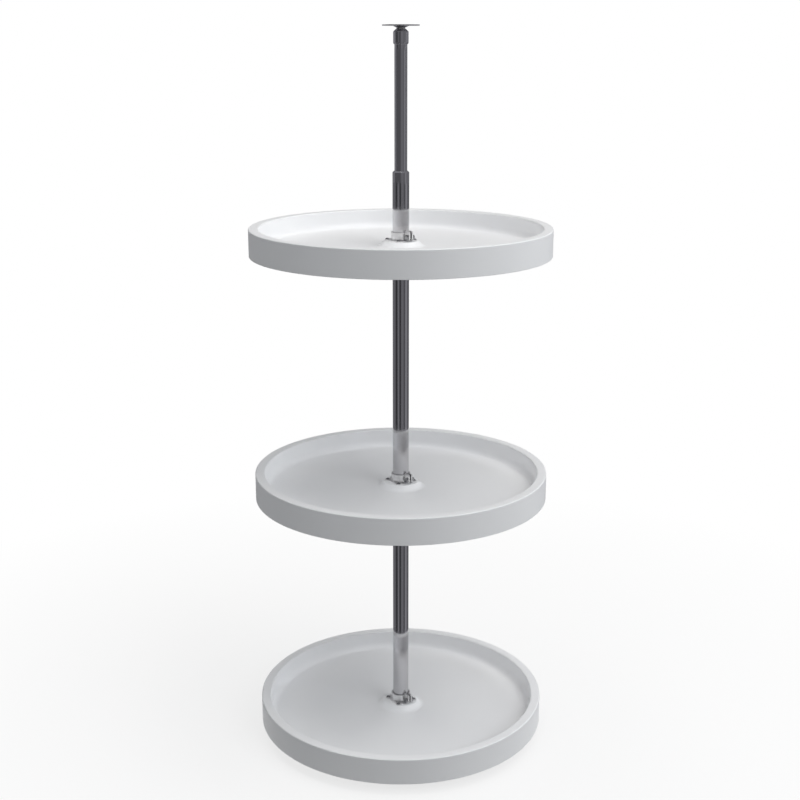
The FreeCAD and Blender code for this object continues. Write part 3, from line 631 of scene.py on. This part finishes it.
@dataclass(frozen=True)
class Hexagon:
    """A hexagonal prism whose corners are turned off where its ends need it."""

    flats: float
    chamfer_degrees: float = 30.0
    face_share: float = 0.95

    @property
    def face(self) -> float:
        """Radius of the round face that the turned-off corners leave."""
        return self.flats / 2 * self.face_share

    def slope(self, angle: float) -> float:
        """How far the chamfer has fallen at the hexagon's outline.

        Args:
            angle: Angle about the axis in radians.

        Returns:
            The fall from the end face.
        """
        fall = math.tan(math.radians(self.chamfer_degrees))
        return (hexagon_radius(self.flats)(angle) - self.face) * fall

    def add(self, rings: Rings, low: float, high: float,
            chamfer_low: bool, chamfer_high: bool) -> None:
        """Adds the prism's rings.

        Args:
            rings: The skin to add to.
            low: Height of the lower face.
            high: Height of the upper face.
            chamfer_low: True turns off the lower corners.
            chamfer_high: True turns off the upper corners.
        """
        outline = hexagon_radius(self.flats)
        if chamfer_low:
            rings.circle(self.face, low)
        rings.add(outline, lambda angle: low + self.slope(angle) * chamfer_low)
        rings.add(outline, lambda angle: high - self.slope(angle) * chamfer_high)
        if chamfer_high:
            rings.circle(self.face, high)


@dataclass(frozen=True)
class Thread:
    """A screw thread's form."""

    radius: float
    pitch: float
    steps: int = 10
    depth_share: float = 0.5
    flank: float = 1.25

    @property
    def root(self) -> float:
        """Radius at the bottom of the groove."""
        return self.radius - self.depth_share * self.pitch

    def groove(self, angle: float, z: float, fade: float) -> float:
        """Radius of the thread at a place on it.

        Args:
            angle: Angle about the axis in radians.
            z: Height along the axis.
            fade: Share of the groove's full depth, from 0 to 1.

        Returns:
            The radius.
        """
        phase = (z / self.pitch - angle / FULL_TURN) % 1.0
        ridge = min(1.0, self.flank * abs(2 * phase - 1))
        return self.radius - (self.radius - self.root) * (1 - ridge) * fade

    def wind(self, rings: Rings, low: float, high: float) -> None:
        """Adds a threaded stretch, whose groove fades in and out at its ends.

        Args:
            rings: The skin to add to.
            low: Height where the thread starts.
            high: Height where it ends.
        """
        count = max(2, round((high - low) / self.pitch * self.steps))
        for step in range(count + 1):
            z = low + (high - low) * step / count
            fade = min(1.0, (z - low) / self.pitch, (high - z) / self.pitch)
            rings.add(lambda angle, z=z, fade=fade: self.groove(angle, z, fade), lambda _, z=z: z)


@dataclass(frozen=True)
class HexBolt:
    """The clamp's bolt: a hexagon head with a shallow dish, a plain shank and a thread."""

    head: Hexagon = Hexagon(10.0 * MM)
    head_height: float = 4.0 * MM
    dish_radius: float = 3.6 * MM
    dish_depth: float = 0.35 * MM
    length: float = 21.8 * MM
    plain: float = 7.2 * MM
    tip: float = 0.6 * MM
    thread: Thread = Thread(3.0 * MM, 1.0 * MM)

    def skin(self) -> Rings:
        """The bolt's skin, from the head's outer face to the tip.

        Returns:
            The rings, which end in caps.
        """
        rings = Rings()
        rings.circle(self.dish_radius - self.dish_depth, self.dish_depth)
        rings.circle(self.dish_radius, 0.0)
        self.head.add(rings, 0.0, self.head_height, chamfer_low=True, chamfer_high=False)
        rings.circle(self.thread.radius, self.head_height)
        rings.circle(self.thread.radius, self.head_height + self.plain)
        self.thread.wind(rings, self.head_height + self.plain, self.length - self.tip)
        rings.circle(self.thread.root, self.length)
        return rings


@dataclass(frozen=True)
class HexNut:
    """The clamp's nut: chamfered on both sides, with a countersunk bore."""

    body: Hexagon = Hexagon(10.0 * MM)
    height: float = 5.0 * MM
    bore: float = 3.05 * MM
    countersink: float = 0.35 * MM

    def skin(self) -> Rings:
        """The nut's skin, closed round its bore.

        Returns:
            The rings, of which the last joins the first.
        """
        rings = Rings()
        rings.circle(self.bore, self.countersink)
        rings.circle(self.bore + self.countersink, 0.0)
        self.body.add(rings, 0.0, self.height, chamfer_low=True, chamfer_high=True)
        rings.circle(self.bore + self.countersink, self.height)
        rings.circle(self.bore, self.height - self.countersink)
        return rings


@dataclass(frozen=True)
class Washer:
    """A plain washer: pressed, so one edge is rounded and the others are hardly broken."""

    radius: float = 6.0 * MM
    bore: float = 3.25 * MM
    thickness: float = 1.2 * MM
    edge: float = 0.4 * MM
    edge_steps: int = 4
    corner: float = 0.1 * MM

    def skin(self) -> Rings:
        """The washer's skin, closed round its bore.

        Returns:
            The rings, of which the last joins the first.
        """
        rings = Rings()
        rings.circle(self.bore, 0.0)
        rings.circle(self.radius - self.corner, 0.0)
        rings.circle(self.radius, self.corner)
        for step in range(self.edge_steps + 1):
            turn = math.pi / 2 * step / self.edge_steps
            out, up = self.edge * math.cos(turn), self.edge * math.sin(turn)
            rings.circle(self.radius - self.edge + out, self.thickness - self.edge + up)
        rings.circle(self.bore + self.corner, self.thickness)
        rings.circle(self.bore, self.thickness - self.corner)
        return rings


@dataclass(frozen=True)
class CrossScrew:
    """A hub screw: a domed head with a cross recess, over a coarse thread that runs to a point."""

    head_radius: float = 3.8 * MM
    head_height: float = 2.3 * MM
    rim: float = 0.45 * MM
    arm: float = 2.1 * MM
    arm_half_width: float = 0.5 * MM
    recess_depth: float = 1.5 * MM
    recess_slope: float = 4.0
    recess_taper: float = 0.45
    length: float = 12.0 * MM
    tip_radius: float = 0.8 * MM
    tip_length: float = 2.8 * MM
    neck: float = 0.2 * MM
    thread: Thread = Thread(1.9 * MM, 1.3 * MM, steps=8, depth_share=0.4)
    around: int = 96
    dome_power: float = 2.6
    dome_rings: int = 22
    dome_edge: float = 0.3
    dome_centre: float = 0.02 * MM

    def dome(self, radius: float) -> float:
        """Height of the dome above the seat at a radius."""
        fall = (radius / self.head_radius) ** self.dome_power
        return self.rim + (self.head_height - self.rim) * math.sqrt(max(0.0, 1 - fall))

    def ring_radius(self, step: int) -> float:
        """Radius of one of the dome's rings, which draw together near its edge.

        Args:
            step: The ring's number, from the edge inwards.

        Returns:
            The radius.
        """
        share = 1 - step / self.dome_rings
        if share >= 1 - self.dome_edge:
            share = 1 - (1 - share) ** 2 / self.dome_edge
        return self.head_radius * share

    def recessed(self, radius: float, angle: float) -> float:
        """Height of the head above the seat, with the recess.

        Args:
            radius: Distance from the axis.
            angle: Angle about the axis in radians.

        Returns:
            The height.
        """
        x, y = abs(radius * math.cos(angle)), abs(radius * math.sin(angle))
        along, aside = max(x, y), min(x, y)
        inside = min(self.arm_half_width - aside, self.arm - along)
        wall = max(0.0, min(self.recess_depth, inside * self.recess_slope))
        return self.dome(radius) - wall * (1 - self.recess_taper * along / self.arm)

    def skin(self) -> Rings:
        """The screw's skin, from its tip to the middle of its head; the seat is at height 0.

        Returns:
            The rings, which end in caps.
        """
        rings = Rings(self.around)
        rings.circle(self.tip_radius / 2, -self.length)
        rings.circle(self.tip_radius, self.tip_radius / 2 - self.length)
        rings.circle(self.thread.root, self.tip_length - self.length)
        self.thread.wind(rings, self.tip_length - self.length, -self.neck)
        rings.circle(self.thread.radius, 0.0)
        rings.circle(self.head_radius, 0.0)
        for step in range(self.dome_rings):
            radius = self.ring_radius(step)
            rings.add(lambda _, r=radius: r, lambda angle, r=radius: self.recessed(r, angle))
        rings.circle(self.dome_centre, self.recessed(0.0, 0.0))
        return rings


@dataclass(frozen=True)
class SetScrew:
    """The lock screw: threaded over its whole length, with a hexagon socket in its outer end."""

    length: float
    socket_flats: float = 3.0 * MM
    socket_depth: float = 3.0 * MM
    mouth_share: float = 0.6
    mouth_depth: float = 0.2 * MM
    drill_radius: float = 0.1 * MM
    drill_depth: float = 0.3 * MM
    tip: float = 0.6 * MM
    thread: Thread = Thread(3.0 * MM, 1.0 * MM)

    def skin(self) -> Rings:
        """The screw's skin, from its tip to the floor of its socket.

        Returns:
            The rings, which end in caps.
        """
        rings = Rings()
        socket = hexagon_radius(self.socket_flats)
        rings.circle(self.thread.root - self.tip, 0.0)
        rings.circle(self.thread.root, self.tip)
        self.thread.wind(rings, self.tip, self.length - self.tip)
        rings.circle(self.thread.root, self.length)
        rings.circle(self.socket_flats * self.mouth_share, self.length)
        rings.add(socket, lambda _: self.length - self.mouth_depth)
        rings.add(socket, lambda _: self.length - self.socket_depth)
        rings.circle(self.drill_radius, self.length - self.socket_depth - self.drill_depth)
        return rings


# ---- Sub-assemblies -------------------------------------------------------------------------


@dataclass
class SubAssembly:
    """A group of nodes on one body."""

    body: str
    nodes: dict[str, Finish]

    def dress(self, frame: dict, finishes: Finishes) -> None:
        """Gives every node its finish.

        Args:
            frame: The loaded frame.
            finishes: The finishes to take from.
        """
        for node, finish in self.nodes.items():
            finishes.dress(frame["nodes"][node], finish)
        LOG.info("%s: dressed %s", self.body, ", ".join(self.nodes))

    def settle(self, piece: bpy.types.Object, finishes: Finishes, finish: Finish,
               instead_of: str) -> None:
        """Finishes a new piece and puts it on the body in place of a node.

        Args:
            piece: The new piece.
            finishes: The finishes to take from.
            finish: The piece's finish.
            instead_of: The node it stands for.
        """
        finishes.dress(piece, finish)
        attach(piece, self.body)
        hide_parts(instead_of)
        LOG.info("%s: made %s for %s", self.body, piece.name, instead_of)

    def build(self, finishes: Finishes) -> None:
        """Makes the group's own pieces; a plain group has none."""


@dataclass
class Post(SubAssembly):
    """The lower tube with what is fixed in it."""

    def build(self, finishes: Finishes) -> None:
        """Makes the lock screw, which points at the upper tube from behind.

        Args:
            finishes: The finishes to take from.
        """
        low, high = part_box("lock_screw")
        foot = Vector(((low.x + high.x) / 2, low.y, (low.z + high.z) / 2))
        axis = Axis(foot, Vector((0.0, 1.0, 0.0)))
        screw = SetScrew(high.y - low.y).skin().piece("lock_set_screw", axis)
        self.settle(screw, finishes, Finish.FASTENER, "lock_screw")


@dataclass
class Shelf(SubAssembly):
    """One tray with its hub and fasteners."""

    name: str = ""
    screw: CrossScrew = CrossScrew()
    screw_circle: float = 27.88 * MM
    screw_bearings: tuple[float, ...] = (80.0, 170.0, 260.0, 350.0)
    screw_turns: tuple[float, ...] = (12.0, 55.0, 31.0, 74.0)
    clamp_bearing: float = -53.0
    ears_half_width: float = 4.8 * MM
    bolt: HexBolt = HexBolt()
    washer: Washer = Washer()
    nut: HexNut = HexNut()

    @classmethod
    def named(cls, name: str) -> "Shelf":
        """A shelf by its name in the frame.

        Args:
            name: bottom, middle or top.

        Returns:
            The shelf.
        """
        nodes = {
            f"{name}_tray": Finish.TRAY,
            f"{name}_hub": Finish.HUB,
            f"{name}_hub_screws": Finish.FASTENER,
            f"{name}_clamp_bolt": Finish.FASTENER,
            f"{name}_clamp_washer": Finish.FASTENER,
            f"{name}_clamp_nut": Finish.FASTENER,
        }
        return cls(body=f"{name}_shelf", nodes=nodes, name=name)

    def across_ears(self, start: float) -> Axis:
        """The clamp bolt's axis, level and square to the clamp's bearing.

        Args:
            start: Where the axis starts, from the middle of the clamp's gap.

        Returns:
            The axis, pointing from the bolt's head to the nut.
        """
        bearing = math.radians(self.clamp_bearing + 90.0)
        along = Vector((math.cos(bearing), math.sin(bearing), 0.0))
        low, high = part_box(f"{self.name}_clamp_washer")
        washer_middle = self.ears_half_width + self.washer.thickness / 2
        return Axis((low + high) / 2 + along * (start - washer_middle), along)

    def build(self, finishes: Finishes) -> None:
        """Makes the clamp's bolt, washer and nut, and the hub's screws.

        Args:
            finishes: The finishes to take from.
        """
        name, ears = self.name, self.ears_half_width
        bolt = self.bolt.skin().piece(
            f"{name}_hex_bolt", self.across_ears(-ears - self.bolt.head_height)
        )
        washer = self.washer.skin().piece(
            f"{name}_pressed_washer", self.across_ears(ears), closed=True
        )
        nut = self.nut.skin().piece(
            f"{name}_hex_nut", self.across_ears(ears + self.washer.thickness), closed=True
        )
        self.settle(bolt, finishes, Finish.FASTENER, f"{name}_clamp_bolt")
        self.settle(washer, finishes, Finish.FASTENER, f"{name}_clamp_washer")
        self.settle(nut, finishes, Finish.FASTENER, f"{name}_clamp_nut")
        self.settle(self.screws(), finishes, Finish.FASTENER, f"{name}_hub_screws")

    def screws(self) -> bpy.types.Object:
        """The hub's four screws as one piece, each driven to a different turn.

        Returns:
            The new mesh object.
        """
        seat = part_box(f"{self.name}_hub_screws")[1].z - self.screw.head_height
        axes = []
        for bearing, turn in zip(self.screw_bearings, self.screw_turns):
            angle = math.radians(bearing)
            foot = Vector((math.cos(angle), math.sin(angle), 0.0)) * self.screw_circle
            foot.z = seat
            axes.append(Axis(foot, Vector((0.0, 0.0, 1.0)), turn))
        return self.screw.skin().piece(f"{self.name}_cross_screws", *axes)


# ---- Studio ---------------------------------------------------------------------------------


@dataclass(frozen=True)
class Lamp:
    """A large soft lamp far off, so that every shelf is lit alike.

    Its bearing is in degrees about the post from the camera's side, anticlockwise as seen from above,
    and its elevation in degrees above the level.
    """

    name: str
    bearing: float
    elevation: float
    watts: float
    colour: Colour = COOL
    distance: float = 8.0
    size: tuple[float, float] = (5.2, 3.4)

    def place(self) -> Vector:
        """Where the lamp hangs.

        Returns:
            The lamp's place.
        """
        turn, rise = math.radians(CAMERA_BEARING + self.bearing), math.radians(self.elevation)
        level = Vector((math.cos(turn), math.sin(turn), 0.0)) * math.cos(rise)
        return MIDDLE + (level + Vector((0.0, 0.0, math.sin(rise)))) * self.distance

    def build(self) -> None:
        """Makes the lamp, pointing at the unit's middle."""
        data = bpy.data.lights.new(self.name, "AREA")
        data.shape = "RECTANGLE"
        data.size, data.size_y = self.size
        data.energy = self.watts
        data.color = self.colour
        lamp = bpy.data.objects.new(self.name, data)
        lamp.location = self.place()
        lamp.rotation_euler = (MIDDLE - lamp.location).to_track_quat("-Z", "Y").to_euler()
        bpy.context.scene.collection.objects.link(lamp)


class Band(Enum):
    """Heights of a reflector card's lower and upper edge, by what shows it."""

    WHOLE = (0.002, 2.2)
    LOWER_TUBE = (0.002, 1.147)
    UPPER_TUBE = (1.147, 2.2)
    CAP = (1.441, 2.2)


@dataclass(frozen=True)
class Card:
    """A strip of card beside the unit that only reflections see.

    Its bearing is that of its middle, measured as a lamp's is, and its spread is in degrees too.
    """

    name: str
    bearing: float
    spread: float
    level: float
    band: Band = Band.LOWER_TUBE
    facet: float = 4.0

    def strip(self, radius: float) -> tuple[list[Point], list[Sequence[int]]]:
        """The card's shape: part of an upright cylinder round the post.

        Args:
            radius: The cylinder's radius.

        Returns:
            The points, of which every second one is on the upper edge, and the faces.
        """
        foot, head = self.band.value
        steps = max(2, round(self.spread / self.facet))
        points: list[Point] = []
        for step in range(steps + 1):
            aside = self.spread * (step / steps - 0.5)
            bearing = math.radians(CAMERA_BEARING + self.bearing + aside)
            x, y = radius * math.cos(bearing), radius * math.sin(bearing)
            points += [(x, y, foot), (x, y, head)]
        return points, [(2 * i, 2 * i + 2, 2 * i + 3, 2 * i + 1) for i in range(steps)]


@dataclass(frozen=True)
class Studio:
    """Floor, light, reflector cards and camera.

    Levels and tones run from 0, black, to 1, white. The floor gives the unit light by its bounce. It
    shows its tone, which holds the shadow, under a share of pure white: white_near up to white_from
    metres from the post, and from there more, until it is white_far at white_to.
    """

    lamps: tuple[Lamp, ...]
    cards: tuple[Card, ...]
    card_radius: float = 0.42
    card_step: float = 0.003
    card_colour: Colour = (1.0, 1.0, 1.08)
    tent_level: float = 0.05
    lid_level: float = 0.30
    floor_half: float = 12.0
    floor_tone: float = 0.88
    floor_bounce: float = 0.25
    white_near: float = 0.75
    white_far: float = 1.0
    white_from: float = 0.5
    white_to: float = 1.6
    camera_place: Point = (-0.0017, -2.6227, 1.4487)
    camera_pitch: float = 74.81
    camera_lens: float = 58.85
    camera_sensor: float = 36.0

    def build(self) -> None:
        """Makes everything round the unit."""
        self.build_world()
        self.build_floor()
        self.build_cards()
        for lamp in self.lamps:
            lamp.build()
        self.build_camera()
        bpy.context.scene.view_settings.view_transform = "Standard"
        LOG.info("studio: %d lamps, %d cards", len(self.lamps), len(self.cards))

    def build_world(self) -> None:
        """A world that is white to look at and gives no light; the lamps do that."""
        world = bpy.data.worlds.new("studio_world")
        bpy.context.scene.world = world
        graph = Graph(world)
        inputs = {"Color": (*WHITE, 1.0), "Strength": graph.seen_directly()}
        graph.end(graph.node("Background", inputs))

    def build_floor(self) -> None:
        """A pale floor that keeps the unit's shadow and turns pure white further out."""
        graph = Graph.named("studio_floor")
        seen = graph.seen_directly()
        apart = graph.node("VectorMath", {0: graph.place()}, operation="LENGTH").outputs["Value"]
        tone = graph.spread(seen, self.floor_bounce, self.floor_tone, start=0.0, stop=1.0)
        plain = graph.node("BsdfDiffuse", {"Color": tone}).outputs[0]
        white = graph.glow(WHITE, 1.0).outputs[0]
        lift = graph.spread(apart, self.white_near, self.white_far, self.white_from, self.white_to)
        share = graph.combine("MULTIPLY", seen, lift)
        mix = graph.node("MixShader", {0: share, 1: plain, 2: white})
        half = self.floor_half
        square = [(-half, -half, 0.0), (half, -half, 0.0), (half, half, 0.0), (-half, half, 0.0)]
        self.set_up("studio_floor", square, [(0, 1, 2, 3)], graph.end(mix))

    @staticmethod
    def set_up(name: str, points: list[Point], faces: list[Sequence[int]],
               material: bpy.types.Material) -> bpy.types.Object:
        """Stands a sheet in the studio.

        Args:
            name: The sheet's name.
            points: Its points.
            faces: Its faces, as lists of point numbers.
            material: Its material.

        Returns:
            The new object.
        """
        mesh = bpy.data.meshes.new(name)
        mesh.from_pydata(points, [], faces)
        mesh.materials.append(material)
        sheet = bpy.data.objects.new(name, mesh)
        bpy.context.scene.collection.objects.link(sheet)
        return sheet

    def build_cards(self) -> None:
        """A dim tent of cards with brighter strips, for the chrome to reflect."""
        tent = Card("tent", 0.0, 360.0, self.tent_level, Band.WHOLE)
        for index, card in enumerate((tent, *self.cards)):
            points, faces = card.strip(self.card_radius - self.card_step * index)
            self.hang(card.name, points, faces, card.level)
        rim = tent.strip(self.card_radius)[0][1:-2:2]
        self.hang("lid", rim, [tuple(range(len(rim)))], self.lid_level)

    def hang(self, name: str, points: list[Point], faces: list[Sequence[int]],
             level: float) -> None:
        """Hangs a glowing card that only reflections see.

        Args:
            name: The card's name.
            points: Its points.
            faces: Its faces, as lists of point numbers.
            level: How bright it is.
        """
        graph = Graph.named(f"card_{name}")
        glow = graph.end(graph.glow(self.card_colour, level))
        card = self.set_up(f"card_{name}", points, faces, glow)
        card.visible_camera = False
        card.visible_diffuse = False
        card.visible_shadow = False
        card.visible_transmission = False

    def build_camera(self) -> None:
        """The camera, where the photograph was taken from."""
        data = bpy.data.cameras.new("studio_camera")
        data.lens = self.camera_lens
        data.sensor_width = self.camera_sensor
        camera = bpy.data.objects.new("studio_camera", data)
        camera.location = self.camera_place
        camera.rotation_euler = (math.radians(self.camera_pitch), 0.0, 0.0)
        bpy.context.scene.collection.objects.link(camera)
        bpy.context.scene.camera = camera


STUDIO = Studio(
    lamps=(
        Lamp("overhead", 0.0, 90.0, 168.0, WARM),
        Lamp("front", 0.0, 35.0, 60.0),
        Lamp("front_right", 45.0, 35.0, 208.0),
        Lamp("high_right", 60.0, 60.0, 161.0, WARM),
        Lamp("right", 90.0, 12.0, 141.0),
        Lamp("high_back_right", 120.0, 60.0, 49.0, WARM),
        Lamp("back_right", 135.0, 12.0, 138.0),
        Lamp("back_left", 225.0, 35.0, 85.0, WARM),
        Lamp("left", 270.0, 12.0, 97.0),
        Lamp("front_left", 315.0, 35.0, 63.0),
    ),
    cards=(
        Card("left_far", -138.0, 84.0, 0.20),
        Card("left", -85.0, 22.0, 0.15),
        Card("left_near", -37.0, 16.0, 0.26),
        Card("left_front", -20.0, 18.0, 0.12),
        Card("right_front", 21.0, 34.0, 0.20),
        Card("right_near", 48.0, 20.0, 0.13),
        Card("right", 80.0, 34.0, 0.31),
        Card("right_far", 138.0, 82.0, 0.16),
        Card("upper_left_far", -112.0, 40.0, 0.28, Band.UPPER_TUBE),
        Card("upper_left", -50.0, 84.0, 0.115, Band.UPPER_TUBE),
        Card("upper_front", -2.0, 12.0, 0.145, Band.UPPER_TUBE),
        Card("upper_right_front", 20.0, 32.0, 0.205, Band.UPPER_TUBE),
        Card("upper_right_near", 46.0, 20.0, 0.165, Band.UPPER_TUBE),
        Card("upper_right", 68.0, 24.0, 0.29, Band.UPPER_TUBE),
        Card("upper_right_far", 110.0, 60.0, 0.21, Band.UPPER_TUBE),
        Card("upper_back", 184.0, 88.0, 0.20, Band.UPPER_TUBE),
        Card("cap_left_far", -120.0, 40.0, 0.32, Band.CAP),
        Card("cap_left", -90.0, 21.0, 0.19, Band.CAP),
        Card("cap_left_near", -62.0, 35.0, 0.07, Band.CAP),
        Card("cap_left_front", -37.0, 15.0, 0.175, Band.CAP),
        Card("cap_front", -15.0, 30.0, 0.11, Band.CAP),
        Card("cap_right_front", 15.0, 30.0, 0.225, Band.CAP),
        Card("cap_right", 55.0, 50.0, 0.195, Band.CAP),
        Card("cap_right_far", 110.0, 60.0, 0.27, Band.CAP),
        Card("cap_back", 180.0, 80.0, 0.26, Band.CAP),
    ),
)


# ---- Build ----------------------------------------------------------------------------------


def sub_assemblies() -> list[SubAssembly]:
    """Every group of pieces, from the floor up.

    Returns:
        The groups, in the order they are built.
    """
    return [
        SubAssembly("floor_mount", {
            "floor_plate": Finish.PLATE,
            "pivot_pin": Finish.BEARING,
            "bearing_lower_race": Finish.BEARING,
        }),
        SubAssembly("ball_ring", {"bearing_balls": Finish.BEARING, "bearing_cage": Finish.BUSH}),
        Post("post", {
            "bearing_upper_race": Finish.BEARING,
            "bottom_plug": Finish.BUSH,
            "lower_tube": Finish.POST,
            "guide_bush": Finish.BUSH,
            "lock_nut": Finish.FASTENER,
            "lock_screw": Finish.FASTENER,
        }),
        SubAssembly("upper_post", {
            "glide_ring": Finish.BUSH,
            "upper_tube": Finish.POST,
            "top_bushing": Finish.BUSH,
            "top_cap": Finish.POST,
        }),
        SubAssembly("ceiling_mount", {
            "ceiling_plate": Finish.POST,
            "top_pin": Finish.BEARING,
            "thrust_washer": Finish.BUSH,
        }),
        *(Shelf.named(name) for name in ("bottom", "middle", "top")),
    ]


def main() -> None:
    """Dresses the frame, builds the finer pieces and sets the studio up."""
    logging.basicConfig(level=logging.INFO, format="%(name)s: %(message)s")
    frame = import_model()
    STUDIO.build()
    finishes = Finishes()
    for group in sub_assemblies():
        group.dress(frame, finishes)
        group.build(finishes)


if __name__ == "__main__":
    main()
